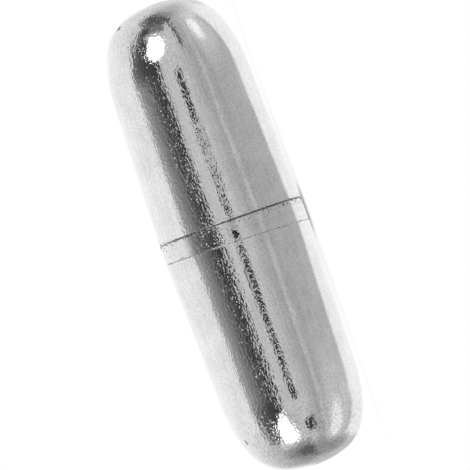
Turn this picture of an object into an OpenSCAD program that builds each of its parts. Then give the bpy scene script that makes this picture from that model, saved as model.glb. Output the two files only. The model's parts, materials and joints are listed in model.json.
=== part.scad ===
// Magnetic stir bar: two drawn metal shells closed over a bar magnet by a flush centre ring.
// The bar lies along X, its origin at mid length on the axis, with the short shell towards +X.

/* [Bar] */
// Length over both rounded ends
bar_length = 25.4; // [20:0.2:36]
// Diameter of the ring band, the widest place of the bar
bar_d = 7.8; // [6.4:0.1:10]

/* [Shells] */
// Wall of the drawn shells
shell_wall = 0.4; // [0.2:0.05:0.7]
// Draft of the shell sides, in degrees each side
draft = 1.6; // [1:0.1:2.4]
// Radius of the round that leads from the crown to the shoulder
knuckle_r = 2.5; // [1.8:0.1:3]
// Radius of the long curve that leads from the knuckle to the side
shoulder_r = 7.5; // [5:0.5:10]
// Slope at which the crown ends and the knuckle starts, in degrees
crown_slope = 19; // [15:1:26]
// Slope at which the knuckle ends and the shoulder starts, in degrees
knuckle_slope = 68; // [60:1:74]
// Chamfer that breaks the outer edges at the seams
edge_break = 0.04; // [0.02:0.01:0.1]

/* [Centre ring] */
// Width of the visible band
band_w = 1.1; // [0.6:0.1:3]
// Distance of the band's middle from mid length, towards the short shell
band_offset = 0.1; // [0:0.05:1]
// Depth to which the ring's bevel falls in the open seam, below the broken edges
seam_depth = 0.08; // [0.04:0.01:0.1]
// Reach of the spigots inside both shells
spigot_reach = 2.4; // [1:0.1:4]
// Wall of the spigots at their thin ends
spigot_wall = 0.4; // [0.2:0.05:0.8]
// Chamfer that leads each spigot into its shell
spigot_lead = 0.15; // [0.05:0.05:0.3]

/* [Magnet] */
// Chamfer round both ends of the magnet
magnet_chamfer = 0.3; // [0.1:0.05:0.8]

/* [Fits] */
// Length of the bevel that shows in the open seam between the band and the short shell
seam_gap = 0.05; // [0.03:0.01:0.2]
// Closed joint between the ring and the rim of each shell
joint_gap = 0.02; // [0.01:0.01:0.2]
// Clearance all round between pieces that sit inside each other
fit_clearance = 0.02; // [0.01:0.01:0.06]

/* [Hidden] */

// Straight steps in each of the three arcs of a shell's nose
arc_steps = 12;
$fn = 96;

bar_r = bar_d / 2;
tip_x = bar_length / 2;
side_slope = 90 - draft;

// Faces of the band and rims of the shells, as distances from mid length
band_short_x = band_offset + band_w / 2;
band_long_x = band_w / 2 - band_offset;
short_rim_x = band_short_x + seam_gap + joint_gap;
long_rim_x = band_long_x + joint_gap;

// The knuckle and the shoulder have set radii, so their share of the nose's height and radius is known
curve_height = knuckle_r * (cos(crown_slope) - cos(knuckle_slope))
    + shoulder_r * (cos(knuckle_slope) - cos(side_slope));
curve_width = knuckle_r * (sin(knuckle_slope) - sin(crown_slope))
    + shoulder_r * (sin(side_slope) - sin(knuckle_slope));

// The crown's radius brings the drafted side out to the band's diameter at the long shell's rim
crown_r = (bar_r - curve_width - (tip_x - long_rim_x - curve_height) * tan(draft))
    / (sin(crown_slope) - (1 - cos(crown_slope)) * tan(draft));

// Centres of the three arcs as [radius, distance from mid length], each tangent to the one before
crown_c = [0, tip_x - crown_r];
knuckle_c = crown_c + (crown_r - knuckle_r) * slope_dir(crown_slope);
shoulder_c = knuckle_c + (knuckle_r - shoulder_r) * slope_dir(knuckle_slope);

// Outward direction of a surface that slopes by this angle from the flat tip
function slope_dir(slope) = [sin(slope), cos(slope)];

// Point on the nose at a slope, moved inwards by an inset
function crown_point(slope, inset) = crown_c + (crown_r - inset) * slope_dir(slope);
function knuckle_point(slope, inset) = knuckle_c + (knuckle_r - inset) * slope_dir(slope);
function shoulder_point(slope, inset) = shoulder_c + (shoulder_r - inset) * slope_dir(slope);

// Nose of a shell from its tip to the start of its straight side, moved inwards by an inset
function nose_points(inset) = concat(
    [for (i = [0 : arc_steps]) crown_point(crown_slope * i / arc_steps, inset)],
    [for (i = [1 : arc_steps])
        knuckle_point(crown_slope + (knuckle_slope - crown_slope) * i / arc_steps, inset)],
    [for (i = [1 : arc_steps])
        shoulder_point(knuckle_slope + (side_slope - knuckle_slope) * i / arc_steps, inset)]
);

// Radius of the straight side at a distance from mid length, moved inwards by an inset
function side_r(x, inset) =
    let (start = shoulder_point(side_slope, inset))
    start[0] + (start[1] - x) * tan(draft);

// Distance from mid length at which the space inside a shell narrows to a radius
function cavity_x(r) =
    r > shoulder_point(side_slope, shell_wall)[0]
        ? shoulder_point(side_slope, shell_wall)[1]
            - (r - shoulder_point(side_slope, shell_wall)[0]) / tan(draft)
    : r > knuckle_point(knuckle_slope, shell_wall)[0]
        ? shoulder_c[1] + sqrt(pow(shoulder_r - shell_wall, 2) - pow(r - shoulder_c[0], 2))
    : r > crown_point(crown_slope, shell_wall)[0]
        ? knuckle_c[1] + sqrt(pow(knuckle_r - shell_wall, 2) - pow(r - knuckle_c[0], 2))
    : crown_c[1] + sqrt(pow(crown_r - shell_wall, 2) - pow(r, 2));

// Outside of a spigot at a distance from mid length
function spigot_r(x) = side_r(x, shell_wall) - fit_clearance;

// Foot of the bevel in the open seam
seam_r = bar_r - edge_break - seam_depth;

// The ring's bore leaves the spigot wall at the end that reaches furthest
bore_r = spigot_r(max(band_short_x, band_long_x) + spigot_reach) - spigot_wall;

// The magnet fills the bore and ends where its chamfers meet the inside of the noses
magnet_r = bore_r - fit_clearance;
magnet_half = min(
    cavity_x(magnet_r + fit_clearance) + magnet_chamfer,
    cavity_x(magnet_r - magnet_chamfer + fit_clearance)
) - fit_clearance;

// Turns a profile of [radius, distance] about the bar's axis, towards +X
module turn_about_axis() {
    rotate([0, 90, 0])
        rotate_extrude()
            children();
}

// One drawn cup, from its rim to the tip of its nose
module shell(rim_x) {
    turn_about_axis()
        polygon(concat(
            nose_points(0),
            [
                [side_r(rim_x + edge_break, 0), rim_x + edge_break],
                [side_r(rim_x, 0) - edge_break, rim_x],
                [side_r(rim_x, shell_wall), rim_x],
            ],
            [for (i = [3 * arc_steps : -1 : 0]) nose_points(shell_wall)[i]]
        ));
}

module short_shell() {
    color([0.8, 0.8, 0.79])
        shell(short_rim_x);
}

module long_shell() {
    color([0.78, 0.78, 0.77])
        mirror([1, 0, 0])
            shell(long_rim_x);
}

// Half of the ring: the band, a bevel beside it if it has one, and the spigot to its end
function ring_half(band_x, bevel) = [
    [bar_r, band_x - edge_break],
    [bar_r - edge_break, band_x],
    if (bevel > 0) [seam_r, band_x + bevel],
    [spigot_r(band_x + bevel), band_x + bevel],
    [spigot_r(band_x + spigot_reach - spigot_lead), band_x + spigot_reach - spigot_lead],
    [spigot_r(band_x + spigot_reach) - spigot_lead, band_x + spigot_reach],
    [bore_r, band_x + spigot_reach],
];

module centre_ring() {
    long_half = ring_half(band_long_x, 0);
    color([0.66, 0.66, 0.65])
        turn_about_axis()
            polygon(concat(
                ring_half(band_short_x, seam_gap),
                [for (i = [len(long_half) - 1 : -1 : 0]) [long_half[i][0], -long_half[i][1]]]
            ));
}

module bar_magnet() {
    color([0.24, 0.24, 0.26])
        turn_about_axis()
            polygon([
                [0, magnet_half],
                [magnet_r - magnet_chamfer, magnet_half],
                [magnet_r, magnet_half - magnet_chamfer],
                [magnet_r, magnet_chamfer - magnet_half],
                [magnet_r - magnet_chamfer, -magnet_half],
                [0, -magnet_half],
            ]);
}

short_shell();
long_shell();
centre_ring();
bar_magnet();
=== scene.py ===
"""Magnetic stir bar: two bright plated shells closed by a duller centre ring over a bar magnet.

The bar lies along X on a white studio floor, with its short shell towards +X. The camera is on its -Y side.
"""
import json
import logging
import math
from dataclasses import dataclass, replace
from enum import Enum
from functools import cached_property
from typing import Any, Sequence, Union

import bpy
from mathutils import Matrix, Vector


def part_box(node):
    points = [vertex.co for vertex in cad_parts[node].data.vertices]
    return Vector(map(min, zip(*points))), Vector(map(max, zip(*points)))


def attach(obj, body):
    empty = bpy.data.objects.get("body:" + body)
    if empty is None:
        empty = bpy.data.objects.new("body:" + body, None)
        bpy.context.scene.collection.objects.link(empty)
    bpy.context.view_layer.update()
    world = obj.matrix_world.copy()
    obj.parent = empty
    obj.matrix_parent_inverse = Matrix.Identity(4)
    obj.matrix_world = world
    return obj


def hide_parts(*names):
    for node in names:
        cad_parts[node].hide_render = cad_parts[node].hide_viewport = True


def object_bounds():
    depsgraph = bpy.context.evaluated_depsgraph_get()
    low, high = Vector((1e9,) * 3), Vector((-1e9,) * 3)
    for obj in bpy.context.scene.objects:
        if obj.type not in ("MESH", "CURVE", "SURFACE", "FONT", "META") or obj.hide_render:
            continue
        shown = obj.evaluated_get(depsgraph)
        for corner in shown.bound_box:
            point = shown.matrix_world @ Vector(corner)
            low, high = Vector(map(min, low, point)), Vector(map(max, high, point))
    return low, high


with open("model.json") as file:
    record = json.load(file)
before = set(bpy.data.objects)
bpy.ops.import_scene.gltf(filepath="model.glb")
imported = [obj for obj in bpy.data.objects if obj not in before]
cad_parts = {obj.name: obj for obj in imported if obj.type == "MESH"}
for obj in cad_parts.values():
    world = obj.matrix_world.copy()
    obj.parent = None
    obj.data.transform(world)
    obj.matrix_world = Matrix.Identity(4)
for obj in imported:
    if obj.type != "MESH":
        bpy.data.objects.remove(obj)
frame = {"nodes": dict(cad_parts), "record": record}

CAD_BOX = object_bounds()
BODY = "root"
NICK_SHADE = "soil"
MM = 0.001
MICRON = 0.001 * MM
TURN = 2 * math.pi
JOINT_SKEW = math.tan(math.radians(1.45))
LOG = logging.getLogger("stir_bar")

Number = Union[float, "Value"]
Point = tuple[float, float]
Stops = tuple[Point, ...]


class Value:
    """What a node's output carries. Arithmetic on it adds Math nodes to its tree."""

    def __init__(self, graph: "Graph", socket: bpy.types.NodeSocket) -> None:
        """Wraps one output socket of a node in this graph."""
        self.graph = graph
        self.socket = socket

    def __add__(self, other: Number) -> "Value":
        """This value plus another."""
        return self.graph.maths("ADD", self, other)

    __radd__ = __add__

    def __sub__(self, other: Number) -> "Value":
        """This value less another."""
        return self.graph.maths("SUBTRACT", self, other)

    def __rsub__(self, other: Number) -> "Value":
        """Another value less this one."""
        return self.graph.maths("SUBTRACT", other, self)

    def __mul__(self, other: Number) -> "Value":
        """This value times another."""
        return self.graph.maths("MULTIPLY", self, other)

    __rmul__ = __mul__

    def __truediv__(self, other: Number) -> "Value":
        """This value over another."""
        return self.graph.maths("DIVIDE", self, other)

    def __rtruediv__(self, other: Number) -> "Value":
        """Another value over this one."""
        return self.graph.maths("DIVIDE", other, self)

    def __neg__(self) -> "Value":
        """This value with its sign turned."""
        return self * -1.0

    def __abs__(self) -> "Value":
        """This value without its sign."""
        return self.graph.maths("ABSOLUTE", self)

    def ease(self, low: Number, high: Number) -> "Value":
        """Smooth step of this value.

        Args:
            low: where the step starts, at 0.
            high: where the step ends, at 1; it may lie below low.

        Returns:
            A value from 0 to 1.
        """
        limits = {"Value": self, "From Min": low, "From Max": high}
        return self.graph.add("ShaderNodeMapRange", {"interpolation_type": "SMOOTHSTEP"}, limits)

    def between(self, first: Number, last: Number) -> "Value":
        """Goes from the first number to the last as this value goes from 0 to 1."""
        return self * (last - first) + first


def overlap(*steps: tuple[Value, Point]) -> Value:
    """Product of smooth steps, each given as a value and the numbers at which its step starts and ends."""
    return math.prod(value.ease(*edge) for value, edge in steps)


class Graph:
    """Adds nodes to one shader or geometry tree."""

    MIX_A, MIX_B, MIX_RESULT = 6, 7, 2

    def __init__(self, tree: bpy.types.NodeTree) -> None:
        """Takes over a tree and empties it."""
        self.tree = tree
        tree.nodes.clear()

    def add(
        self,
        kind: str,
        settings: dict[str, Any] | None = None,
        inputs: dict[str | int, Any] | None = None,
        output: str | int = 0,
    ) -> Value:
        """Adds one node.

        Args:
            kind: the node's type.
            settings: its own properties, set first; "stops" holds a ramp's (place, grey level) pairs.
            inputs: what its sockets take, by name or index: a value to link or a plain setting.
            output: which output to hand back.

        Returns:
            The chosen output.
        """
        node = self.tree.nodes.new(kind)
        for name, setting in (settings or {}).items():
            if name == "stops":
                self._set_stops(node.color_ramp, setting)
            else:
                setattr(node, name, setting)
        for key, given in (inputs or {}).items():
            if isinstance(given, Value):
                self.tree.links.new(given.socket, node.inputs[key])
            else:
                node.inputs[key].default_value = given
        return Value(self, node.outputs[output] if len(node.outputs) else None)

    @staticmethod
    def _set_stops(ramp: bpy.types.ColorRamp, stops: Stops) -> None:
        """Replaces a ramp's stops by grey ones.

        Args:
            ramp: the ramp.
            stops: (place, grey level) pairs in rising order, with places from 0 to 1.
        """
        while len(ramp.elements) > 1:
            ramp.elements.remove(ramp.elements[-1])
        for index, (place, level) in enumerate(stops):
            stop = ramp.elements[0] if index == 0 else ramp.elements.new(place)
            stop.position = place
            stop.color = grey(level)

    def maths(self, operation: str, *numbers: Number) -> Value:
        """Adds a Math node for one operation on numbers."""
        return self.add("ShaderNodeMath", {"operation": operation}, dict(enumerate(numbers)))

    def split(self, vector: Value) -> tuple[Value, Value, Value]:
        """The three numbers of a vector."""
        parts = self.add("ShaderNodeSeparateXYZ", inputs={0: vector})
        return tuple(Value(self, socket) for socket in parts.socket.node.outputs)

    def vector(self, x: Number, y: Number, z: Number) -> Value:
        """A vector of three numbers."""
        return self.add("ShaderNodeCombineXYZ", inputs={0: x, 1: y, 2: z})

    def scaled(self, vector: Value, by: Number) -> Value:
        """A vector times one number."""
        return self.add("ShaderNodeVectorMath", {"operation": "SCALE"}, {0: vector, "Scale": by})

    def stretched(self, vector: Value, by: tuple[float, ...]) -> Value:
        """A vector times another, part by part."""
        return self.add("ShaderNodeVectorMath", {"operation": "MULTIPLY"}, {0: vector, 1: by})

    def hypot(self, first: Value, second: Value) -> Value:
        """Length of a plane vector with these two parts."""
        return self.maths("SQRT", first * first + second * second)

    def noise(self, place: Value, size: float, detail: float) -> Value:
        """Soft noise with features of about this size."""
        return self.add("ShaderNodeTexNoise", inputs={"Vector": place, "Scale": 1 / size, "Detail": detail})

    def ramp(self, place: Value, stops: Stops) -> Value:
        """Grey level that changes evenly from stop to stop.

        Args:
            place: where on the ramp a point lies.
            stops: (place, grey level) pairs in rising order, in the same units.

        Returns:
            The level, as a colour.
        """
        first, span = stops[0][0], stops[-1][0] - stops[0][0]
        shares = tuple(((stop - first) / span, level) for stop, level in stops)
        return self.add("ShaderNodeValToRGB", {"stops": shares}, {"Fac": (place - first) / span})

    def mix(self, share: Number, first: Any, second: Any) -> Value:
        """Blends two colours, given as outputs or as grey levels.

        Args:
            share: how much of the second colour shows.
            first: the colour at a share of 0.
            second: the colour at a share of 1.

        Returns:
            The blended colour.
        """
        inputs = {0: share}
        for key, given in ((self.MIX_A, first), (self.MIX_B, second)):
            inputs[key] = grey(given) if isinstance(given, float) else given
        return self.add("ShaderNodeMix", {"data_type": "RGBA"}, inputs, self.MIX_RESULT)

    def bump(self, distance: float, height: Value) -> Value:
        """Normal of a face with these heights, each worth this distance."""
        return self.add("ShaderNodeBump", inputs={"Distance": distance, "Height": height}, output="Normal")

    def principled(self, inputs: dict[str, Any]) -> None:
        """Ends a material's tree in one Principled shader with these inputs."""
        shader = self.add("ShaderNodeBsdfPrincipled", inputs=inputs)
        self.add("ShaderNodeOutputMaterial", inputs={"Surface": shader})


def grey(level: float) -> tuple[float, float, float, float]:
    """A neutral opaque colour of this level."""
    return (level, level, level, 1.0)


def new_material(name: str) -> tuple[bpy.types.Material, Graph]:
    """Makes a material with an empty tree.

    Args:
        name: the material's name.

    Returns:
        The material and its tree.
    """
    material = bpy.data.materials.new(name)
    material.use_nodes = True
    return material, Graph(material.node_tree)


class Recipe:
    """A Geometry Nodes tree with named inputs that is turned into plain meshes."""

    def __init__(self, name: str, inputs: dict[str, str]) -> None:
        """Makes an empty tree.

        Args:
            name: the tree's name.
            inputs: each input's name and socket kind, such as Float; a Material input is always added.
        """
        self.tree = bpy.data.node_groups.new(name, "GeometryNodeTree")
        self.graph = Graph(self.tree)
        self.identifiers: dict[str, str] = {}
        interface = self.tree.interface
        for label, kind in {**inputs, "Material": "Material"}.items():
            socket = interface.new_socket(label, in_out="INPUT", socket_type=f"NodeSocket{kind}")
            self.identifiers[label] = socket.identifier
        interface.new_socket("Geometry", in_out="OUTPUT", socket_type="NodeSocketGeometry")

    def given(self, label: str) -> Value:
        """The value of one named input."""
        return self.graph.add("NodeGroupInput", output=label)

    def round_axis(self, along: Value, radius: Value, angle: Value, skew: Value) -> Value:
        """Point on a circle round the X axis, moved along it by its height times the skew."""
        height = radius * self.graph.maths("SINE", angle)
        return self.graph.vector(along + height * skew, radius * self.graph.maths("COSINE", angle), height)

    def close(self, geometry: Value) -> None:
        """Ends the tree in real, smooth, dressed geometry.

        Args:
            geometry: what the tree has made.
        """
        real = self.graph.add("GeometryNodeRealizeInstances", inputs={0: geometry})
        smooth = self.graph.add("GeometryNodeSetShadeSmooth", inputs={0: real})
        dressed = self.graph.add(
            "GeometryNodeSetMaterial", inputs={"Geometry": smooth, "Material": self.given("Material")}
        )
        self.graph.add("NodeGroupOutput", inputs={0: dressed})

    def make(self, name: str, values: dict[str, Any]) -> bpy.types.Object:
        """Runs the tree and keeps its result as a plain mesh.

        Args:
            name: the new piece's name.
            values: what each named input holds.

        Returns:
            The piece, at the origin, with no modifier left.
        """
        piece = bpy.data.objects.new(name, bpy.data.meshes.new(name))
        bpy.context.scene.collection.objects.link(piece)
        modifier = piece.modifiers.new(self.tree.name, "NODES")
        modifier.node_group = self.tree
        for label, value in values.items():
            modifier[self.identifiers[label]] = value
        evaluated = piece.evaluated_get(bpy.context.evaluated_depsgraph_get())
        mesh = bpy.data.meshes.new_from_object(evaluated)
        piece.modifiers.clear()
        piece.data = mesh
        mesh.name = name
        return piece


class Lathe(Recipe):
    """Tree that turns an outline about the X axis, ripples it and sinks nicks into it."""

    WELD = 0.1 * MICRON
    NICK_FLOOR = 0.25
    WALL_SHADE = (0.02, 0.3)
    LIT_FLOOR = (0.96, 1.0)
    LIT_FLOOR_SHARE = 0.2

    def __init__(self) -> None:
        """Builds the tree."""
        super().__init__("Turned piece", {
            "Outline": "Object", "Sides": "Int", "Seed": "Float",
            "Ripple Height": "Float", "Ripple Size": "Float",
            "Nicks": "Object", "Nick Radius": "Float", "Nick Depth": "Float",
            "Skew": "Float", "Skew Place": "Float", "Skew Reach": "Float",
        })
        self.close(self._marked(self._turned()))

    def _points(self, label: str) -> Value:
        """The points of the helper object that an input names."""
        helper = {"Object": self.given(label)}
        return self.graph.add("GeometryNodeObjectInfo", {"transform_space": "ORIGINAL"}, helper, "Geometry")

    def _turned(self) -> Value:
        """Bends a sheet round the axis along the outline, and welds it shut.

        Returns:
            The closed surface.
        """
        g = self.graph
        outline = self._points("Outline")
        rows = g.add("GeometryNodeAttributeDomainSize", {"component": "MESH"}, {0: outline}, "Point Count")
        sheet = g.add("GeometryNodeMeshGrid", inputs={
            "Size X": 1.0, "Size Y": 1.0, "Vertices X": rows, "Vertices Y": self.given("Sides") + 1,
        })
        place = g.add("GeometryNodeInputPosition")
        across, around, _ = g.split(place)
        row = g.maths("ROUND", (across + 0.5) * (rows - 1))
        spot = g.add("GeometryNodeSampleIndex", {"data_type": "FLOAT_VECTOR"}, {
            "Geometry": outline, "Value": place, "Index": row,
        })
        along, radius, _ = g.split(spot)
        near_joint = abs(along - self.given("Skew Place")).ease(self.given("Skew Reach"), 0.0)
        ring = self.round_axis(along, radius, (around + 0.5) * TURN, self.given("Skew") * near_joint)
        turned = g.add("GeometryNodeSetPosition", inputs={"Geometry": sheet, "Position": ring})
        return g.add("GeometryNodeMergeByDistance", inputs={"Geometry": turned, "Distance": self.WELD})

    def _marked(self, surface: Value) -> Value:
        """Ripples a surface, sinks nicks and stores painted shade for their walls, less on their floors.

        Args:
            surface: the turned surface.

        Returns:
            The marked surface.
        """
        g = self.graph
        ripple = g.add("ShaderNodeTexNoise", {"noise_dimensions": "4D"}, {
            "Vector": g.add("GeometryNodeInputPosition"), "W": self.given("Seed"),
            "Scale": 1 / self.given("Ripple Size"), "Detail": 1.0,
        })
        nicks = {0: self._points("Nicks")}
        distance = g.add("GeometryNodeProximity", {"target_element": "POINTS"}, nicks, "Distance")
        hollow = distance.ease(self.given("Nick Radius"), self.given("Nick Radius") * self.NICK_FLOOR)
        sunk = (ripple - 1) * self.given("Ripple Height") - hollow * self.given("Nick Depth")
        # Painted shade on the nicks' walls, lighter on their floors
        wall = hollow.ease(*self.WALL_SHADE) * (1 - hollow.ease(*self.LIT_FLOOR) * self.LIT_FLOOR_SHARE)
        nick_shaded = g.add("GeometryNodeStoreNamedAttribute", {"data_type": "FLOAT", "domain": "POINT"}, {
            "Geometry": surface, "Name": NICK_SHADE, "Value": wall,
        })
        offset = g.scaled(g.add("GeometryNodeInputNormal"), sunk)
        return g.add("GeometryNodeSetPosition", inputs={"Geometry": nick_shaded, "Offset": offset})

    def turn(
        self,
        name: str,
        outline: list[Point],
        nicks: list[Vector],
        material: bpy.types.Material,
        **sizes: float,
    ) -> bpy.types.Object:
        """Turns one piece.

        Args:
            name: the piece's name.
            outline: its section as (place along the axis, radius) pairs, in order.
            nicks: points in space where nicks are sunk.
            material: its finish.
            sizes: the tree's other inputs, such as ripple_height for Ripple Height.

        Returns:
            The piece.
        """
        helpers = {
            "Outline": point_helper(f"{name}_outline", outline),
            "Nicks": point_helper(f"{name}_nicks", nicks),
        }
        labelled = {key.replace("_", " ").title(): size for key, size in sizes.items()}
        piece = self.make(name, {**helpers, **labelled, "Material": material})
        for helper in helpers.values():
            mesh = helper.data
            bpy.data.objects.remove(helper)
            bpy.data.meshes.remove(mesh)
        return piece


class Sprinkler(Recipe):
    """Tree that sprinkles flat crumbs round a seam."""

    RANDOM_MIN, RANDOM_MAX, RANDOM_SEED, RANDOM_RESULT = 2, 3, 8, 1
    CRUMB_LENGTHS = (0.35, 1.0)
    CRUMB_THICKNESS = 0.3

    def __init__(self) -> None:
        """Builds the tree, with a fixed seed among its inputs."""
        super().__init__("Seam crumbs", {
            "Count": "Int", "Radius": "Float", "Place": "Float", "Spread": "Float", "Skew": "Float",
            "Crumb Size": "Float", "Seed": "Int",
        })
        g = self.graph
        ring = g.add("GeometryNodeMeshCircle", inputs={"Vertices": self.given("Count"), "Radius": 1.0})
        angle = self._chance(0.0, TURN, 1)
        stray = self._chance(0.0, 1.0, 2) * self._chance(0.0, 1.0, 3)
        along = self.given("Place") + self.given("Spread") * stray
        place = self.round_axis(along, self.given("Radius"), angle, self.given("Skew"))
        spots = g.add("GeometryNodeSetPosition", inputs={"Geometry": ring, "Position": place})
        lump = g.add("GeometryNodeMeshIcoSphere", inputs={"Radius": 1.0, "Subdivisions": 1})
        size = self.given("Crumb Size")
        length, breadth = (size * self._chance(*self.CRUMB_LENGTHS, salt) for salt in (4, 5))
        crumbs = g.add("GeometryNodeInstanceOnPoints", inputs={
            "Points": spots, "Instance": lump, "Rotation": g.vector(angle, 0.0, 0.0),
            "Scale": g.vector(length, size * self.CRUMB_THICKNESS, breadth),
        })
        self.close(crumbs)

    def _chance(self, low: float, high: float, salt: int) -> Value:
        """A random number for each crumb; each salt gives other numbers."""
        inputs = {self.RANDOM_MIN: low, self.RANDOM_MAX: high, self.RANDOM_SEED: self.given("Seed") + salt}
        return self.graph.add("FunctionNodeRandomValue", {"data_type": "FLOAT"}, inputs, self.RANDOM_RESULT)


def point_helper(name: str, points: Sequence[Vector | Point]) -> bpy.types.Object:
    """Holds points for a recipe to read.

    Args:
        name: the helper's name.
        points: points in space, or pairs that become points with no height.

    Returns:
        An object whose mesh is those points.
    """
    mesh = bpy.data.meshes.new(name)
    mesh.from_pydata([Vector(point).to_3d() for point in points], [], [])
    return bpy.data.objects.new(name, mesh)


def steps_between(first: Point, last: Point, spacing: float) -> list[Point]:
    """Points along a straight line, from after its first end to its last.

    Args:
        first: the end that is left out.
        last: the end that closes the list.
        spacing: about how far apart the points lie.

    Returns:
        The points in order.
    """
    count = max(1, round(math.dist(first, last) / spacing))
    return [
        (first[0] + (last[0] - first[0]) * i / count, first[1] + (last[1] - first[1]) * i / count)
        for i in range(1, count + 1)
    ]


def rounded(corner: Point, before: Point, after: Point, radius: float, steps: int = 5) -> list[Point]:
    """Rounds a corner of an outline with a quadratic curve.

    Args:
        corner: the sharp corner.
        before: a point on the line that leads to it.
        after: a point on the line that leaves it.
        radius: how far from the corner the round starts and ends.
        steps: how many straight steps it has.

    Returns:
        The points of the round in order.
    """
    middle = Vector(corner)
    start = middle + (Vector(before) - middle).normalized() * radius
    end = middle + (Vector(after) - middle).normalized() * radius
    shares = [i / steps for i in range(steps + 1)]
    curve = [start * (1 - s) ** 2 + middle * 2 * s * (1 - s) + end * s**2 for s in shares]
    return [tuple(point) for point in curve]


def facing(slope: float) -> Vector:
    """Outward direction, (along, radius), of a face that slopes by this angle from the flat tip."""
    return Vector((math.cos(slope), math.sin(slope)))


@dataclass(frozen=True)
class ShellForm:
    """Section of a drawn shell with its tip towards +X: crown, knuckle and shoulder, and a drafted side."""

    tip: float
    mouth: float
    mouth_radius: float
    wall: float = 0.4 * MM
    draft: float = math.radians(1.6)
    knuckle_radius: float = 2.5 * MM
    shoulder_radius: float = 7.5 * MM
    crown_slope: float = math.radians(19)
    knuckle_slope: float = math.radians(68)
    edge_break: float = 0.04 * MM

    @cached_property
    def arcs(self) -> list[tuple[Vector, float, float, float]]:
        """The three arcs of the nose, each tangent to the one before.

        Returns:
            Centre, radius, first slope and last slope of each arc.
        """
        crown, knuckle, side = self.crown_slope, self.knuckle_slope, math.pi / 2 - self.draft
        rise = self.knuckle_radius * (math.cos(crown) - math.cos(knuckle))
        rise += self.shoulder_radius * (math.cos(knuckle) - math.cos(side))
        reach = self.knuckle_radius * (math.sin(knuckle) - math.sin(crown))
        reach += self.shoulder_radius * (math.sin(side) - math.sin(knuckle))
        flare = math.tan(self.draft)
        straight = self.tip - self.mouth - self.edge_break - rise
        crown_radius = self.mouth_radius - reach - straight * flare
        crown_radius /= math.sin(crown) - (1 - math.cos(crown)) * flare
        crown_centre = Vector((self.tip - crown_radius, 0.0))
        knuckle_centre = crown_centre + (crown_radius - self.knuckle_radius) * facing(crown)
        shoulder_centre = knuckle_centre + (self.knuckle_radius - self.shoulder_radius) * facing(knuckle)
        return [
            (crown_centre, crown_radius, 0.0, crown),
            (knuckle_centre, self.knuckle_radius, crown, knuckle),
            (shoulder_centre, self.shoulder_radius, knuckle, side),
        ]

    def side_radius(self, along: float, inset: float = 0.0) -> float:
        """Radius of the drafted side.

        Args:
            along: the place along the axis.
            inset: how far inside the outer face it is taken.

        Returns:
            The radius there.
        """
        centre, radius, _, side = self.arcs[-1]
        start = centre + (radius - inset) * facing(side)
        return start.y + (start.x - along) * math.tan(self.draft)

    def nose(self, inset: float, spacing: float) -> list[Point]:
        """Points of the nose from its tip to the start of the drafted side.

        Args:
            inset: how far inside the outer face they lie.
            spacing: about how far apart they lie.

        Returns:
            The points in order.
        """
        points = [(self.tip - inset, 0.0)]
        for centre, radius, first, last in self.arcs:
            count = max(3, round((last - first) * radius / spacing))
            slopes = [first + (last - first) * i / count for i in range(1, count + 1)]
            points += [tuple(centre + (radius - inset) * facing(slope)) for slope in slopes]
        return points

    def outline(self, spacing: float, inner_spacing: float) -> list[Point]:
        """Closed section from the outer tip round the rim to the inner tip.

        Args:
            spacing: about how far apart the points of the outer face lie.
            inner_spacing: the same for the hidden inner face.

        Returns:
            The points in order.
        """
        outer, inner = self.nose(0.0, spacing), self.nose(self.wall, inner_spacing)
        edge = (self.mouth, self.side_radius(self.mouth))
        lip = (self.mouth, self.side_radius(self.mouth, self.wall))
        rim = rounded(edge, outer[-1], lip, self.edge_break)
        rim += rounded(lip, edge, inner[-1], self.edge_break)
        side = steps_between(outer[-1], rim[0], spacing)
        back = steps_between(rim[-1], inner[-1], inner_spacing)
        return outer + side + rim[1:] + back + inner[-2::-1]


class Lay(Enum):
    """Way that the fine lines of a worked face run, as the stretch of their pattern along X, Y and Z."""

    LENGTHWISE = (0.03, 1.0, 1.0)
    AROUND = (1.0, 0.03, 0.03)


@dataclass(frozen=True)
class RubbedStrip:
    """Strip along the bar, between two heights above its axis, where it is rubbed, in millimetres."""

    low: float
    high: float
    start: float = -13.0
    end: float = 13.0
    strength: float = 1.0
    edge: float = 0.08
    fade: float = 1.0

    def cover(self, x: Value, z: Value) -> Value:
        """How far a point is rubbed by this strip.

        Args:
            x: the point's place along the bar.
            z: its height above the axis.

        Returns:
            From 0 to the strip's strength.
        """
        return self.strength * overlap(
            (z, (self.low - self.edge, self.low + self.edge)),
            (z, (self.high + self.edge, self.high - self.edge)),
            (x, (self.start - self.fade, self.start + self.fade)),
            (x, (self.end + self.fade, self.end - self.fade)),
        )


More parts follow.
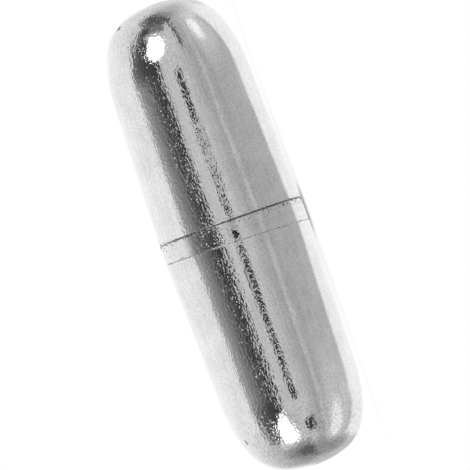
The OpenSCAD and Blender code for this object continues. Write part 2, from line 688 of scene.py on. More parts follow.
@dataclass(frozen=True)
class MetalFinish:
    """Worked metal face with fine lines and grain, speckled and pitted along its rubbed strips.

    Pit radii are shares of the pit spacing. A darker band of painted reflection lies along one height above
    the axis.
    """

    name: str
    lay: Lay
    tone: float
    roughness: float
    line_spacing: float
    line_height: float
    grain_size: float
    grain_height: float
    speckle_size: float
    speckle_height: float
    pit_spacing: float
    pit_depth: float
    pit_share: float
    strips: tuple[RubbedStrip, ...]
    strip_waver: float = 0.16 * MM
    calm_share: float = 0.14
    rubbed_line_gain: float = 1.8
    speckle_draw: float = 0.15
    cloud_size: float = 1.1 * MM
    cloud_edge: Point = (0.3, 0.7)
    cloud_tones: Point = (0.95, 1.04)
    cloud_dullness: Point = (0.7, 1.3)
    fleck_size: float = 0.09 * MM
    fleck_edge: Point = (0.65, 0.3)
    fleck_lines: float = 0.28
    fleck_tone: float = 0.3
    fleck_share: float = 0.36
    nose_fleck_share: float = 0.36
    nose_edge: Point = (9.0 * MM, 11.0 * MM)
    pit_radii: Point = (0.12, 0.52)
    pit_bottom: float = 0.1
    pit_clustering: float = 1.2
    pit_fade: float = 0.02
    pit_dullness: float = 0.1
    nick_shade_tone: float = 0.03
    nick_shade_dullness: float = 0.4
    painted_band_height: float = 2.2 * MM
    painted_band_edge: Point = (0.6 * MM, 0.24 * MM)
    painted_band_share: float = 0.0

    def make(self) -> bpy.types.Material:
        """Builds the material.

        Returns:
            The material.
        """
        material, g = new_material(self.name)
        place = g.add("ShaderNodeTexCoord", output="Object")
        cloud = g.noise(place, self.cloud_size, 3.0)
        lines = g.noise(g.stretched(place, self.lay.value), self.line_spacing, 1.0)
        rubbed = self._rubbed(g, place, cloud)
        pits = self._pits(g, place, cloud)
        # Painted shade: nick walls darken almost to black, and are duller
        soil = g.add("ShaderNodeAttribute", {"attribute_name": NICK_SHADE}, output="Fac")
        dullness = pits * rubbed * self.pit_dullness + soil * self.nick_shade_dullness
        g.principled({
            "Base Color": g.mix(soil, self._colour(g, place, lines, cloud), self.nick_shade_tone),
            "Metallic": 1.0,
            "Roughness": self.roughness * cloud.between(*self.cloud_dullness) + dullness,
            "Normal": g.bump(MICRON, self._height(g, place, lines, pits, rubbed)),
        })
        return material

    def _colour(self, g: Graph, place: Value, lines: Value, cloud: Value) -> Value:
        """Flecked and streaked colour, with its darker band of painted reflection.

        Args:
            g: the material's tree.
            place: a point of the piece.
            lines: the pattern of fine lines.
            cloud: the pattern of broad clouds.

        Returns:
            The colour.
        """
        fleck = lines * self.fleck_lines + g.noise(place, self.fleck_size, 2.0) * (1 - self.fleck_lines)
        pale, bright = (min(1.0, self.tone * part) for part in self.cloud_tones)
        clouded = g.mix(cloud.ease(*self.cloud_edge), pale, bright)
        x, _, z = g.split(place)
        share = abs(x).ease(*self.nose_edge).between(self.fleck_share, self.nose_fleck_share)
        flecked = g.mix(fleck.ease(*self.fleck_edge) * share, clouded, self.tone * self.fleck_tone)
        # Painted reflection: a darker band along one height above the axis
        painted_band = abs(z - self.painted_band_height).ease(*self.painted_band_edge)
        return g.mix(painted_band * self.painted_band_share, flecked, 0.0)

    def _rubbed(self, g: Graph, place: Value, cloud: Value) -> Value:
        """How far the face is rubbed, in the strips and a little everywhere.

        Args:
            g: the material's tree.
            place: a point of the piece.
            cloud: the pattern of broad clouds, which makes the strips waver.

        Returns:
            The larger of all strips there.
        """
        x, _, z = g.split(g.scaled(place, 1 / MM))
        z = z + (cloud - 0.5) * (self.strip_waver / MM)
        rubbed: Number = self.calm_share
        for strip in self.strips:
            rubbed = g.maths("MAXIMUM", strip.cover(x, z), rubbed)
        return rubbed

    def _height(self, g: Graph, place: Value, lines: Value, pits: Value, rubbed: Value) -> Value:
        """Height of the lines and grain, and of the speckle and pits where the face is rubbed.

        Args:
            g: the material's tree.
            place: a point of the piece.
            lines: the pattern of fine lines.
            pits: the pits, 1 at their bottoms.
            rubbed: how far the face is rubbed.

        Returns:
            The height in microns.
        """
        grain = g.noise(place, self.grain_size, 1.0)
        drawn = tuple(part**self.speckle_draw for part in self.lay.value)
        speckle = g.noise(g.stretched(place, drawn), self.speckle_size, 1.0)
        line_height = (1 + rubbed * self.rubbed_line_gain) * (self.line_height / MICRON)
        rough = (speckle - 0.5) * (self.speckle_height / MICRON) - pits * (self.pit_depth / MICRON)
        return lines * line_height + grain * (self.grain_height / MICRON) + rough * rubbed

    def _pits(self, g: Graph, place: Value, cloud: Value) -> Value:
        """Scattered round pits.

        Args:
            g: the material's tree.
            place: a point of the piece.
            cloud: the pattern of broad clouds; pits are denser where it is thick.

        Returns:
            From 0 to 1, which is a pit's bottom.
        """
        inputs = {"Vector": place, "Scale": 1 / self.pit_spacing}
        distance = g.add("ShaderNodeTexVoronoi", inputs=inputs, output="Distance")
        pick, spread, _ = g.split(g.add("ShaderNodeTexVoronoi", inputs=inputs, output="Color"))
        radius = (spread * spread).between(*self.pit_radii)
        limit = 1 - self.pit_share
        clustered = pick + (cloud - 0.5) * self.pit_clustering
        chosen = clustered.ease(limit - self.pit_fade, limit + self.pit_fade)
        return distance.ease(radius, radius * self.pit_bottom) * chosen


@dataclass(frozen=True)
class ResidueFinish:
    """Dry, dull residue left along a seam, made paler towards the bar's top and bottom by painted light."""

    name: str
    dark: float
    light: float
    painted_light_top: float = 0.0
    painted_light_bottom: float = 0.0
    painted_light_tone: float = 0.97
    painted_light_span: Point = (2.4 * MM, 3.4 * MM)
    mottle_size: float = 0.08 * MM
    mottle_edge: Point = (0.35, 0.65)
    mottle_height: float = 4 * MICRON
    roughness: Point = (0.55, 0.85)

    def make(self) -> bpy.types.Material:
        """Builds the material.

        Returns:
            The material.
        """
        material, g = new_material(self.name)
        place = g.add("ShaderNodeTexCoord", output="Object")
        mottle = g.noise(place, self.mottle_size, 3.0)
        _, _, z = g.split(place)
        # Painted light: paler towards the bar's top and bottom
        painted_light = z.ease(*self.painted_light_span) * self.painted_light_top + (-z).ease(*self.painted_light_span) * self.painted_light_bottom
        mottled = g.mix(mottle.ease(*self.mottle_edge), self.dark, self.light)
        g.principled({
            "Base Color": g.mix(painted_light, mottled, self.painted_light_tone),
            "Roughness": mottle.between(*self.roughness),
            "Normal": g.bump(self.mottle_height, mottle),
        })
        return material


PLATED = MetalFinish(
    name="bright plating", lay=Lay.LENGTHWISE, tone=0.935, roughness=0.07,
    line_spacing=0.09 * MM, line_height=2 * MICRON, grain_size=0.15 * MM, grain_height=4 * MICRON,
    speckle_size=0.12 * MM, speckle_height=17 * MICRON,
    pit_spacing=0.12 * MM, pit_depth=9 * MICRON, pit_share=0.55,
    strips=(
        RubbedStrip(0.9, 1.75, end=9.4, strength=1.35),
        RubbedStrip(1.05, 1.6, start=1.8, end=4.4, strength=2.2, edge=0.15),
        RubbedStrip(-0.24, 0.18, end=5.5, strength=0.6),
        RubbedStrip(-0.24, 0.18, start=5.5, end=9.5, strength=0.5),
        RubbedStrip(-0.3, 0.22, start=2.2, end=6.0, strength=1.6, edge=0.12),
        RubbedStrip(-1.75, -1.2, strength=0.32),
        RubbedStrip(1.7, 2.75, strength=0.45, edge=0.2),
        RubbedStrip(1.3, 2.2, start=9.6, strength=1.2, edge=0.2),
        RubbedStrip(-4.0, 4.0, start=10.0, strength=0.38),
        RubbedStrip(-0.6, 1.3, start=11.5, strength=1.4, edge=0.3),
    ),
)
WORN = replace(PLATED, name="worn plating", nose_fleck_share=0.6, strips=(
    RubbedStrip(0.55, 1.7, start=-9.4, end=-0.5, strength=1.3, edge=0.2),
    RubbedStrip(-0.24, 0.18, start=-9.5, end=-3.4, strength=0.58),
    RubbedStrip(-0.24, 0.18, start=-3.4, strength=0.34),
    RubbedStrip(-1.75, -1.2, strength=0.32),
    RubbedStrip(1.7, 2.75, strength=0.45, edge=0.2),
    RubbedStrip(1.4, 2.4, end=-8.8, strength=1.2, edge=0.2),
    RubbedStrip(-4.0, 4.0, end=-9.8, strength=0.48),
))
DULLED = MetalFinish(
    name="dulled plating", lay=Lay.AROUND, tone=0.925, roughness=0.12,
    line_spacing=0.08 * MM, line_height=1.5 * MICRON, grain_size=0.1 * MM, grain_height=3.5 * MICRON,
    speckle_size=0.11 * MM, speckle_height=17 * MICRON,
    pit_spacing=0.14 * MM, pit_depth=12 * MICRON, pit_share=0.65,
    strips=(RubbedStrip(0.3, 2.2, strength=1.4, edge=0.3),), calm_share=0.18, painted_band_share=0.3,
)
ALLOY = MetalFinish(
    name="ground magnet alloy", lay=Lay.AROUND, tone=0.3, roughness=0.45,
    line_spacing=0.1 * MM, line_height=5 * MICRON, grain_size=0.15 * MM, grain_height=6 * MICRON,
    speckle_size=0.3 * MM, speckle_height=3 * MICRON,
    pit_spacing=0.5 * MM, pit_depth=12 * MICRON, pit_share=0.3, strips=(RubbedStrip(-4.0, 4.0),),
)
CAKED = ResidueFinish("caked residue", dark=0.15, light=0.65, painted_light_top=1.0, painted_light_bottom=1.0)
CHALKY = ResidueFinish("chalky residue", dark=0.26, light=0.95, mottle_size=0.7 * MM, painted_light_bottom=1.0)
CRUMBLED = ResidueFinish("crumbled residue", dark=0.03, light=0.9)


@dataclass
class Shell:
    """One drawn cup, turned from its section, with one nick."""

    node: str
    finish: MetalFinish
    seed: float
    nick: Vector
    nick_radius: float
    nick_depth: float = 0.1 * MM
    sides: int = 288
    spacing: float = 0.08 * MM
    inner_spacing: float = 0.4 * MM
    ripple_height: float = 3 * MICRON
    ripple_size: float = 1.6 * MM
    skew: float = 0.0
    skew_reach: float = 3 * MM

    @cached_property
    def form(self) -> ShellForm:
        """The shell's section, as if its tip pointed to +X.

        Returns:
            The section, with its place and rim taken from the solid's box.
        """
        low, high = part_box(self.node)
        ends = sorted((abs(low.x), abs(high.x)))
        return ShellForm(tip=ends[1], mouth=ends[0], mouth_radius=min(high.y, high.z))

    @property
    def points_forward(self) -> bool:
        """Whether the tip points to +X."""
        low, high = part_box(self.node)
        return high.x > -low.x

    def build(self, lathe: Lathe) -> bpy.types.Object:
        """Turns and dresses the shell and puts it in its solid's place.

        Args:
            lathe: the tree that turns outlines.

        Returns:
            The finished piece.
        """
        section = self.form.outline(self.spacing, self.inner_spacing)
        if not self.points_forward:
            section = [(-along, radius) for along, radius in reversed(section)]
        piece = lathe.turn(
            f"{self.node}_skin", section, [self.nick], self.finish.make(), sides=self.sides, seed=self.seed,
            ripple_height=self.ripple_height, ripple_size=self.ripple_size,
            nick_radius=self.nick_radius, nick_depth=self.nick_depth,
            skew=self.skew, skew_place=-self.form.mouth, skew_reach=self.skew_reach,
        )
        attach(piece, BODY)
        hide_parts(self.node)
        return piece


@dataclass
class CentreRing:
    """Ring that joins the shells: a flush band with a blowhole, and a spigot into each shell."""

    form: ShellForm
    node: str = "centre_ring"
    neighbour: str = "short_shell"
    mount: str = "ring_band"
    finish: MetalFinish = DULLED
    seam_depth: float = 0.08 * MM
    edge_break: float = 0.04 * MM
    fit: float = 0.02 * MM
    spigot_wall: float = 0.4 * MM
    lead: float = 0.15 * MM
    sink: float = 0.026 * MM
    sides: int = 720
    seed: float = 7.0
    spacing: float = 0.035 * MM
    hidden_spacing: float = 0.6 * MM
    ripple_height: float = 3 * MICRON
    ripple_size: float = 0.5 * MM
    pits: tuple[Point, ...] = ((-0.07 * MM, 0.06 * MM), (-0.22 * MM, -0.03 * MM), (-0.3 * MM, 0.04 * MM))
    pit_radius: float = 0.145 * MM
    pit_depth: float = 0.1 * MM
    skew: float = 0.0

    @cached_property
    def band(self) -> tuple[float, float, float]:
        """Place of the band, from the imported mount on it.

        Returns:
            Its low end, high end and radius.
        """
        mount = next(m for m in frame["record"]["mounts"] if m["name"] == self.mount)
        half = mount["dims"]["length_mm"] * MM / 2 + self.edge_break
        middle = mount["pos_m"][0]
        return middle - half, middle + half, mount["dims"]["r_mm"] * MM - self.sink

    @cached_property
    def rim(self) -> float:
        """Place along the axis of the short shell's rim."""
        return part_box(self.neighbour)[0].x

    def spigot_radius(self, along: float) -> float:
        """Outside of a spigot at a place along the axis."""
        return self.form.side_radius(abs(along), self.form.wall) - self.fit

    def outline(self) -> list[Point]:
        """Closed section from the band's high edge over the band and both spigots, and back along the bore.

        Returns:
            The points in order.
        """
        start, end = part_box(self.node)[0].x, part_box(self.node)[1].x
        low, high, radius = self.band
        bore = self.spigot_radius(max(-start, end)) - self.spigot_wall
        top, bottom = (high, radius), (low, radius)
        low_root = (low, self.spigot_radius(low))
        foot = (self.rim - self.fit, radius - self.edge_break - self.seam_depth)
        top_round = rounded(top, (high, radius - self.edge_break), bottom, self.edge_break)
        bottom_round = rounded(bottom, top, low_root, self.edge_break)
        points = top_round + steps_between(top_round[-1], bottom_round[0], self.spacing)
        points += bottom_round[1:]
        for corner in (
            low_root,
            (start + self.lead, self.spigot_radius(start + self.lead)),
            (start, self.spigot_radius(start) - self.lead),
            (start, bore),
            (end, bore),
            (end, self.spigot_radius(end) - self.lead),
            (end - self.lead, self.spigot_radius(end - self.lead)),
            (foot[0], self.spigot_radius(foot[0])),
            foot,
            top_round[0],
        ):
            points += steps_between(points[-1], corner, self.hidden_spacing)
        return points

    def build(self, lathe: Lathe) -> bpy.types.Object:
        """Turns and dresses the ring, with its blowhole on the side that faces the camera.

        Args:
            lathe: the tree that turns outlines.

        Returns:
            The finished piece.
        """
        low, high, radius = self.band
        pits = [Vector(((low + high) / 2 + along, -radius, height)) for along, height in self.pits]
        piece = lathe.turn(
            "centre_ring_skin", self.outline(), pits, self.finish.make(), sides=self.sides, seed=self.seed,
            ripple_height=self.ripple_height, ripple_size=self.ripple_size,
            nick_radius=self.pit_radius, nick_depth=self.pit_depth,
            skew=self.skew, skew_place=low, skew_reach=high - low,
        )
        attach(piece, BODY)
        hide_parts(self.node)
        return piece


@dataclass
class SeamResidue:
    """Dry residue round the ring: beads in its open seam and its closed joint, and crumbs beside them."""

    ring: CentreRing
    bead_sides: int = 720
    bead_seed: float = 5.0
    bead_spacing: float = 0.012 * MM
    seam_sink: float = 0.024 * MM
    joint_sink: float = 0.006 * MM
    joint_overlap: float = 0.028 * MM
    bead_waver: float = 0.03 * MM
    bead_lump: float = 0.12 * MM
    bead_skew_reach: float = 3 * MM
    seam_crumbs: int = 220
    rim_crumbs: int = 130
    joint_crumbs: int = 70
    seam_spread: float = 0.4 * MM
    rim_spread: float = 0.28 * MM
    joint_spread: float = 0.1 * MM
    crumb_size: float = 0.05 * MM
    crumb_lift: float = 0.004 * MM
    crumb_seed: int = 11

    def bead(
        self, lathe: Lathe, name: str, span: Point, sink: float, skew: float, finish: ResidueFinish
    ) -> bpy.types.Object:
        """Fills a seam with a lumpy bead.

        Args:
            lathe: the tree that turns outlines.
            name: the bead's name.
            span: where along the axis it starts and ends.
            sink: how far its top lies below the band.
            skew: how far the seam leans.
            finish: the residue's finish.

        Returns:
            The bead.
        """
        start, end = span
        radius = self.ring.band[2]
        top, bottom = radius - sink, radius - self.ring.edge_break - self.ring.seam_depth
        middle = (start + end) / 2
        section = [(middle, top)]
        for corner in ((start, top), (start, bottom), (end, bottom), (end, top), (middle, top)):
            section += steps_between(section[-1], corner, self.bead_spacing)
        return lathe.turn(
            name, section, [Vector()], finish.make(), sides=self.bead_sides, seed=self.bead_seed,
            ripple_height=self.bead_waver, ripple_size=self.bead_lump, nick_radius=MICRON, nick_depth=0.0,
            skew=skew, skew_place=middle, skew_reach=self.bead_skew_reach,
        )

    def crumbs(self, sprinkler: Sprinkler) -> list[bpy.types.Object]:
        """Sprinkles crumbs on both sides of the open seam and along the closed joint.

        Args:
            sprinkler: the tree that sprinkles crumbs.

        Returns:
            The crumbs on the ring's edge, on the shell's rim and along the joint.
        """
        low, high, radius = self.ring.band
        material = CRUMBLED.make()
        return [
            sprinkler.make(name, {
                "Count": count, "Radius": radius + self.crumb_lift,
                "Place": place, "Spread": spread, "Skew": skew,
                "Crumb Size": self.crumb_size, "Seed": self.crumb_seed + index, "Material": material,
            })
            for index, (name, count, place, spread, skew) in enumerate((
                ("seam_crumbs", self.seam_crumbs, high, -self.seam_spread, 0.0),
                ("rim_crumbs", self.rim_crumbs, self.ring.rim, self.rim_spread, 0.0),
                ("joint_crumbs", self.joint_crumbs, low, self.joint_spread, self.ring.skew),
            ))
        ]

    def build(self, lathe: Lathe, sprinkler: Sprinkler) -> list[bpy.types.Object]:
        """Makes and dresses the beads and the crumbs.

        Args:
            lathe: the tree that turns outlines.
            sprinkler: the tree that sprinkles crumbs.

        Returns:
            The finished pieces.
        """
        low, high, _ = self.ring.band
        half = self.ring.fit / 2
        seam = (high + half, self.ring.rim - half)
        joint = (low - self.ring.fit - self.joint_overlap, low + self.joint_overlap)
        pieces = [
            self.bead(lathe, "seam_bead", seam, self.seam_sink, 0.0, CAKED),
            self.bead(lathe, "joint_bead", joint, self.joint_sink, self.ring.skew, CHALKY),
            *self.crumbs(sprinkler),
        ]
        for piece in pieces:
            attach(piece, BODY)
        return pieces


@dataclass(frozen=True)
class BarMagnet:
    """Hidden magnet, which keeps its solid's own mesh."""

    node: str = "bar_magnet"
    finish: MetalFinish = ALLOY

    def dress(self) -> bpy.types.Object:
        """Gives the solid its ground finish.

        Returns:
            The solid's object.
        """
        magnet = frame["nodes"][self.node]
        magnet.data.materials.clear()
        magnet.data.materials.append(self.finish.make())
        return magnet


def towards(bearing: float, height: float) -> Vector:
    """Direction from the bar, by a bearing from the camera's side towards +X and a height, in degrees."""
    turn, lift = math.radians(bearing), math.radians(height)
    return Vector((math.sin(turn) * math.cos(lift), -math.cos(turn) * math.cos(lift), math.sin(lift)))


@dataclass(frozen=True)
class Lamp:
    """Oval lamp in front of the bar, with its angles in degrees as the bar sees it."""

    bearing: float
    height: float
    half_width: float
    half_height: float
    glow: float = 1.6
    distance: float = 0.5

    def build(self) -> None:
        """Makes the lamp, which the camera doesn't see."""
        halves = (math.radians(half) for half in (self.half_width, self.half_height))
        width, height = (2 * self.distance * math.tan(half) for half in halves)
        light = bpy.data.lights.new("lamp", "AREA")
        light.shape = "ELLIPSE"
        light.size, light.size_y = width, height
        light.energy = self.glow * math.pi**2 * width * height / 4
        lamp = bpy.data.objects.new("lamp", light)
        bpy.context.scene.collection.objects.link(lamp)
        way = towards(self.bearing, self.height)
        lamp.location = way * self.distance
        lamp.rotation_mode = "QUATERNION"
        lamp.rotation_quaternion = way.to_track_quat("Z", "Y")
        lamp.visible_camera = False


class Measure(Enum):
    """What the edges of a patch in the mirrored room or on the mirrored floor are measured by."""

    HIGH_END = "0 at the low end, towards -X, and 1 at the high end"
    LIFT = "degrees round the bar's axis, up from the camera's side"
    TILT = "lift without its sign"
    ARCH = "degrees above the foot of the pale arch"
    OUT = "how far a direction points along the axis"
    FRONT = "how far it points to the camera's side"
    CAMERA = "degrees above or below the camera"
    RING = "how far along the axis a direction points off the ring"
    ALONG = "millimetres along the bar"
    BEYOND = "millimetres past the bar's end"
    RISE = "how steeply a place lies to the back of the bar's end"
    SLOPE = "how steeply it lies to the front"
    STRIP = "millimetres off the middle of the dark strip"
    STREAK = "millimetres along the dark streak"
    BESIDE = "millimetres beside the dark streak"
    LOW_POOL = "distance from the middle of the bright pool at the low end, as a share of its size"
    HIGH_POOL = "the same for the pool at the high end"


@dataclass(frozen=True)
class Patch:
    """Soft-edged patch of what the metal mirrors.

    Each edge names a measure and says where the patch starts to show and where it shows in full. The shares
    are those at the low end and at the high end.
    """

    level: float
    edges: tuple[tuple[Measure, float, float], ...]
    shares: Point = (1.0, 1.0)

    def cover(self, measures: dict[Measure, Value]) -> Value:
        """How far the patch covers what has these measures."""
        steps = [(measures[kind], (start, full)) for kind, start, full in self.edges]
        return measures[Measure.HIGH_END].between(*self.shares) * overlap(*steps)

    def over(self, seen: Value, measures: dict[Measure, Value]) -> Value:
        """A colour with the patch laid over it."""
        return seen.graph.mix(self.cover(measures), seen, self.level)


@dataclass(frozen=True)
class MirroredRoom:
    """Room as the metal mirrors it: bands round the bar's axis, with patches over them in order."""

    # Brightness by degrees round the bar's axis, up from the camera's side
    bands: Stops = (
        (-180, 0.98), (-8, 0.6), (0, 0.6), (14, 0.6), (22.5, 0.57), (24.9, 0.03), (36, 0.05), (50, 0.15),
        (60, 0.24), (71, 0.37), (75, 0.42), (78, 0.83), (90, 0.87), (110, 0.91), (146, 0.98), (180, 0.98),
    )
    band_turn: float = 3.0
    band_middle: float = 0.01
    band_edge: Point = (0.02, 0.12)
    end_edge: Point = (-0.1, 0.1)
    # Foot of the pale arch at the low and the high end, in degrees, and how far the high one leans
    arch_feet: Point = (15.0, 60.0)
    arch_lean: float = 42.4
    arch_middle: float = 0.66
    camera_lift: float = -1.5
    ring_place: float = 0.019
    patches: tuple[Patch, ...] = (
        # Dark upper corners, and a dark front with a pale edge at the high end
        Patch(0.0, ((Measure.LIFT, 40, 50), (Measure.LIFT, 82, 78), (Measure.OUT, 0.1, 0.3)), (0.55, 0.55)),
        Patch(0.2, ((Measure.LIFT, 44, 34), (Measure.LIFT, -20, -5), (Measure.OUT, 0.68, 0.8)), (0.0, 1.0)),
        Patch(0.55, (
            (Measure.LIFT, 54, 42), (Measure.OUT, 0.64, 0.7), (Measure.OUT, 0.82, 0.72),
        ), (0.0, 1.0)),
        # Pale arch over each end
        Patch(0.72, ((Measure.ARCH, 0, 9), (Measure.LIFT, 86, 78), (Measure.OUT, 0.58, 0.68))),
        # Falling light above and behind the bar
        Patch(0.0, ((Measure.TILT, 70, 85), (Measure.OUT, 0.2, 0.88)), (0.4, 0.16)),
        Patch(0.0, ((Measure.TILT, 140, 175), (Measure.OUT, 0.2, 0.6)), (0.3, 0.15)),
        # Walls past the low and the high end, with their dark middles
        Patch(0.33, ((Measure.OUT, 0.8, 0.92),), (1.0, 0.0)),
        Patch(0.19, ((Measure.OUT, 0.905, 0.945),), (0.0, 1.0)),
        Patch(0.06, ((Measure.OUT, 0.93, 0.985),), (0.7, 0.7)),
        # Dark camera, with a gap where the ring is
        Patch(0.035, (
            (Measure.CAMERA, 6.8, 5.8), (Measure.OUT, 0.27, 0.22),
            (Measure.FRONT, 0.0, 0.1), (Measure.RING, 0.036, 0.05),
        )),
    )

    def colour(self, g: Graph) -> Value:
        """Colour of the room.

        Args:
            g: the world's shader tree.

        Returns:
            The colour.
        """
        x, y, z = g.split(g.add("ShaderNodeTexCoord", output="Generated"))
        lift = g.maths("ARCTAN2", z, -y) * math.degrees(1)
        out, high_end = abs(x), x.ease(*self.end_edge)
        low_foot, high_foot = self.arch_feet
        foot = high_end.between(low_foot, high_foot + (out - self.arch_middle) * self.arch_lean)
        measures = {
            Measure.LIFT: lift, Measure.TILT: abs(lift), Measure.ARCH: lift - foot, Measure.OUT: out,
            Measure.FRONT: -y, Measure.CAMERA: abs(lift - self.camera_lift),
            Measure.RING: abs(x - self.ring_place), Measure.HIGH_END: high_end,
        }
        turned = lift - self.band_turn * abs(x - self.band_middle).ease(*self.band_edge)
        seen = g.ramp(turned, self.bands)
        for patch in self.patches:
            seen = patch.over(seen, measures)
        return seen


@dataclass(frozen=True)
class MirroredFloor:
    """Floor as the metal mirrors it, a glow only glossy rays see: painted shadow in bands along the bar, and
    painted light and shade past its ends, in millimetres.
    """

    # Painted shadow of the bar: brightness by distance from the bar's axis towards its back
    bands: Stops = (
        (-24, 0.6), (-14, 0.55), (-10.5, 0.49), (-7.8, 0.42), (-6.9, 0.425), (-6.2, 0.58), (-5.5, 0.42),
        (-5, 0.42), (-4.2, 0.45), (-3, 0.455), (-2.4, 0.49), (-1.95, 0.5), (-1.75, 0.97), (0, 1.0),
    )
    bar_end: float = 12.5
    band_fan: float = 0.3
    bend: float = 0.45
    bend_along: Point = (-9.6, -11.0)
    bend_across: Point = (-3.2, -2.2)
    # Painted light where the shadow ends: brightness past the low and the high end, by distance from mid
    # length, and how far its bands curve
    ends: tuple[Stops, Stops] = (
        ((8, 1.0), (12, 1.0), (12.4, 0.95), (13.9, 0.5), (16, 0.37), (20, 0.33), (24, 0.36), (34, 0.36),
         (48, 0.3)),
        ((8, 1.0), (12, 1.0), (14, 0.8), (16, 0.62), (20, 0.46), (24, 0.35), (34, 0.22), (48, 0.2)),
    )
    side_edge: Point = (-1.0, 1.0)
    end_curves: Point = (0.4, 0.65)
    curve_start: float = -1.5
    curve_span: float = 6.0
    # Painted light and shade past the ends: a glow, the pale back of both ends and the dark distance
    end_patches: tuple[Patch, ...] = (
        Patch(0.5, ((Measure.RISE, -0.05, 0.25), (Measure.BEYOND, 6.0, 12.0)), (0.0, 1.0)),
        Patch(0.61, ((Measure.RISE, 0.3, 1.2),), (1.0, 0.0)),
        Patch(0.76, ((Measure.RISE, 0.3, 1.2),), (0.0, 1.0)),
        Patch(0.12, ((Measure.BEYOND, 25.0, 110.0), (Measure.RISE, 0.6, 0.3))),
    )
    end_cover: Patch = Patch(1.0, ((Measure.BEYOND, 0.2, 2.0), (Measure.SLOPE, 0.6, 0.1)))
    slope_start: float = -2.0
    near: float = 1.0
    # Painted reflection of a dark wedge and strip past the high end
    wedge: Patch = Patch(0.09, (
        (Measure.SLOPE, 0.08, 0.15), (Measure.SLOPE, 0.5, 0.35), (Measure.ALONG, 23.0, 28.0),
    ))
    strip: Patch = Patch(0.09, (
        (Measure.STRIP, 1.8, 0.7), (Measure.ALONG, 13.6, 14.6), (Measure.ALONG, 36.0, 28.0),
    ))
    strip_place: float = -10.4
    # Painted reflection of a dark streak that runs out from the low end
    streak_from: Point = (-12.0, -2.2)
    streak_way: Point = (-0.63, -0.78)
    streak_shift: float = 2.2
    streak_fan: float = 0.05
    # Painted pools of light, by place along and across the bar, reach and breadth
    low_pool: tuple[float, ...] = (-13.4, -3.35, 3.3, 1.2)
    high_pool: tuple[float, ...] = (12.8, -3.7, 2.0, 0.85)
    patches: tuple[Patch, ...] = (
        Patch(0.04, ((Measure.BESIDE, 1.5, 0.5), (Measure.STREAK, 6.0, 13.0), (Measure.STREAK, 70.0, 45.0))),
        Patch(0.8, ((Measure.LOW_POOL, 2.6, 0.9),), (0.5, 0.5)),
        Patch(1.0, ((Measure.LOW_POOL, 1.1, 0.5),)),
        Patch(0.8, ((Measure.HIGH_POOL, 2.6, 0.9),), (0.5, 0.5)),
        Patch(1.0, ((Measure.HIGH_POOL, 1.1, 0.5),)),
    )

    def colour(self, g: Graph) -> Value:
        """Colour of the floor.

        Args:
            g: the floor's shader tree.

        Returns:
            The colour.
        """
        x, y, _ = g.split(g.scaled(g.add("ShaderNodeTexCoord", output="Object"), 1 / MM))
        measures = self._measures(g, x, y)
        bend = overlap((x, self.bend_along), (y, self.bend_across)) * self.bend
        seen = g.ramp(y - measures[Measure.BEYOND] * self.band_fan - bend, self.bands)
        back = g.maths("MINIMUM", g.maths("MAXIMUM", y - self.curve_start, 0.0), self.curve_span)
        away = abs(x) - measures[Measure.HIGH_END].between(*self.end_curves) * back
        ends = g.mix(measures[Measure.HIGH_END], *(g.ramp(away, stops) for stops in self.ends))
        for patch in self.end_patches:
            ends = patch.over(ends, measures)
        seen = g.mix(self.end_cover.cover(measures), seen, ends)
        dark = g.maths("MAXIMUM", self.wedge.cover(measures), self.strip.cover(measures))
        seen = g.mix(dark, seen, self.wedge.level)
        for patch in self.patches:
            seen = patch.over(seen, measures)
        return seen

    def _measures(self, g: Graph, x: Value, y: Value) -> dict[Measure, Value]:
        """Takes the measures of a place on the floor.

        Args:
            g: the floor's shader tree.
            x: the place along the bar.
            y: the place across it, towards its back.

        Returns:
            The measures.
        """
        beyond = g.maths("MAXIMUM", abs(x) - self.bar_end, 0.0)
        (from_x, from_y), (way_x, way_y) = self.streak_from, self.streak_way
        streak = (x - from_x) * way_x + (y - from_y) * way_y
        across = (y - from_y) * way_x - (x - from_x) * way_y
        low_pool, high_pool = (
            g.hypot((x - along) / reach, (y - depth) / breadth)
            for along, depth, reach, breadth in (self.low_pool, self.high_pool)
        )
        return {
            Measure.HIGH_END: x.ease(*self.side_edge), Measure.ALONG: x, Measure.BEYOND: beyond,
            Measure.RISE: y / (beyond + self.near),
            Measure.SLOPE: (self.slope_start - y) / (beyond + self.near),
            Measure.STRIP: abs(y - self.strip_place), Measure.STREAK: streak,
            Measure.BESIDE: abs(across - self.streak_shift) - streak * self.streak_fan,
            Measure.LOW_POOL: low_pool, Measure.HIGH_POOL: high_pool,
        }


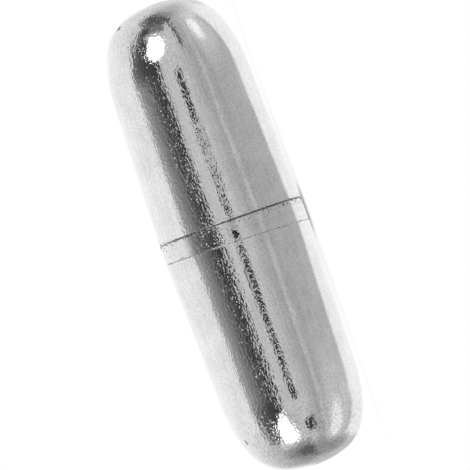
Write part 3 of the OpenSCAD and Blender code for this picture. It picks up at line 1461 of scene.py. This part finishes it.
@dataclass(frozen=True)
class Studio:
    """White floor and background for the camera, room and floor for the metal to mirror, and oval lamps."""

    floor_level: float
    floor_front: float = 37 * MM
    floor_reach: float = 300 * MM
    floor_shade: float = 0.85
    shadow: float = 0.035
    shadow_reach: float = 2.4 * MM
    shadow_samples: int = 16
    # Contact shadow under the ring, as edges along the bar and their strengths
    touch_shadows: tuple[tuple[Point, float], ...] = (
        ((1.8 * MM, 0.4 * MM), 0.51), ((8 * MM, 0.8 * MM), 0.09),
    )
    lamps: tuple[Lamp, ...] = (
        Lamp(39.3, 20.8, half_width=9, half_height=15.8),
        Lamp(-45.5, 27, half_width=12.5, half_height=14),
        Lamp(-30, 27, half_width=4, half_height=6),
    )
    mirrored_room: MirroredRoom = MirroredRoom()
    mirrored_floor: MirroredFloor = MirroredFloor()

    def build(self) -> None:
        """Makes the world, the floor and the lamps."""
        self._world()
        self._floor()
        for lamp in self.lamps:
            lamp.build()

    def _world(self) -> None:
        """Makes the room, which the camera itself sees as plain white."""
        world = bpy.data.worlds.new("studio")
        world.use_nodes = True
        bpy.context.scene.world = world
        g = Graph(world.node_tree)
        mirrored = g.add("ShaderNodeBackground", inputs={"Color": self.mirrored_room.colour(g)})
        white = g.add("ShaderNodeBackground", inputs={"Color": grey(1.0)})
        camera = g.add("ShaderNodeLightPath", output="Is Camera Ray")
        surface = g.add("ShaderNodeMixShader", inputs={0: camera, 1: mirrored, 2: white})
        g.add("ShaderNodeOutputWorld", inputs={"Surface": surface})

    def _floor(self) -> None:
        """Makes the white sheet that the bar touches, with the bar's soft shadow on it."""
        material, g = new_material("white floor")
        # Painted reflection for glossy rays: the floor glows with its painted shadow and light
        mirrored = g.add("ShaderNodeEmission", inputs={"Color": self.mirrored_floor.colour(g)})
        x, _, _ = g.split(g.add("ShaderNodeTexCoord", output="Object"))
        depth = self.shadow + sum(abs(x).ease(*edge) * strength for edge, strength in self.touch_shadows)
        samples, reach = {"samples": self.shadow_samples}, {"Distance": self.shadow_reach}
        open_sky = g.add("ShaderNodeAmbientOcclusion", samples, reach, "AO")
        shown = g.add("ShaderNodeEmission", inputs={"Color": g.mix(depth * (1 - open_sky), 1.0, 0.0)})
        lit = g.add("ShaderNodeBsdfDiffuse", inputs={"Color": grey(self.floor_shade)})
        camera = g.add("ShaderNodeLightPath", output="Is Camera Ray")
        glossy = g.add("ShaderNodeLightPath", output="Is Glossy Ray")
        surface = g.add("ShaderNodeMixShader", inputs={0: glossy, 1: lit, 2: mirrored})
        surface = g.add("ShaderNodeMixShader", inputs={0: camera, 1: surface, 2: shown})
        g.add("ShaderNodeOutputMaterial", inputs={"Surface": surface})

        reach, front = self.floor_reach, self.floor_front
        corners = [(-reach, -front), (reach, -front), (reach, reach), (-reach, reach)]
        mesh = bpy.data.meshes.new("floor")
        mesh.from_pydata([(x, y, self.floor_level) for x, y in corners], [], [(0, 1, 2, 3)])
        mesh.materials.append(material)
        floor = bpy.data.objects.new("floor", mesh)
        bpy.context.scene.collection.objects.link(floor)


@dataclass(frozen=True)
class Viewpoint:
    """Camera in front of the bar, rolled so that the bar stands nearly upright in the picture.

    Its bearing and height from the bar and the bar's lean are in degrees.
    """

    bar_length: float
    picture_px: float = 470.0
    bar_px: float = 488.2
    bar_centre_px: Point = (234.86, 234.1)
    lean: float = 19.65
    bearing: float = -1.1
    height: float = 1.0
    distance: float = 0.3

    def build(self) -> None:
        """Makes the scene's camera."""
        back = towards(self.bearing, self.height)
        flat = towards(self.bearing + 90, 0.0)
        above = back.cross(flat)
        roll = math.radians(90 + self.lean)
        right = flat * math.cos(roll) - above * math.sin(roll)
        up = flat * math.sin(roll) + above * math.cos(roll)
        pixel, middle = self.bar_length / self.bar_px, self.picture_px / 2
        shift_right, shift_down = (middle - centre for centre in self.bar_centre_px)
        aim = (right * shift_right - up * shift_down) * pixel
        data = bpy.data.cameras.new("camera")
        data.angle = 2 * math.atan(middle * pixel / self.distance)
        camera = bpy.data.objects.new("camera", data)
        bpy.context.scene.collection.objects.link(camera)
        axes = Matrix((right, up, back)).transposed()
        camera.matrix_world = Matrix.Translation(aim + back * self.distance) @ axes.to_4x4()
        bpy.context.scene.camera = camera


def main() -> None:
    """Builds and dresses the bar, its studio and its camera."""
    logging.basicConfig(level=logging.INFO, format="%(name)s: %(message)s")
    bpy.context.scene.view_settings.view_transform = "Standard"
    low, high = CAD_BOX
    Viewpoint(bar_length=high.x - low.x).build()
    Studio(floor_level=low.z).build()

    lathe = Lathe()
    short_nick, long_nick = Vector((12.0, -1.0, 2.05)) * MM, Vector((-10.4, -1.25, 3.12)) * MM
    short = Shell("short_shell", PLATED, seed=1.0, nick=short_nick, nick_radius=0.2 * MM)
    long = Shell("long_shell", WORN, seed=4.0, nick=long_nick, nick_radius=0.12 * MM, skew=JOINT_SKEW)
    ring = CentreRing(form=long.form, skew=JOINT_SKEW)
    pieces = [
        short.build(lathe),
        long.build(lathe),
        ring.build(lathe),
        *SeamResidue(ring).build(lathe, Sprinkler()),
        BarMagnet().dress(),
    ]
    for piece in pieces:
        LOG.info("%s: %d faces", piece.name, len(piece.data.polygons))


if __name__ == "__main__":
    main()
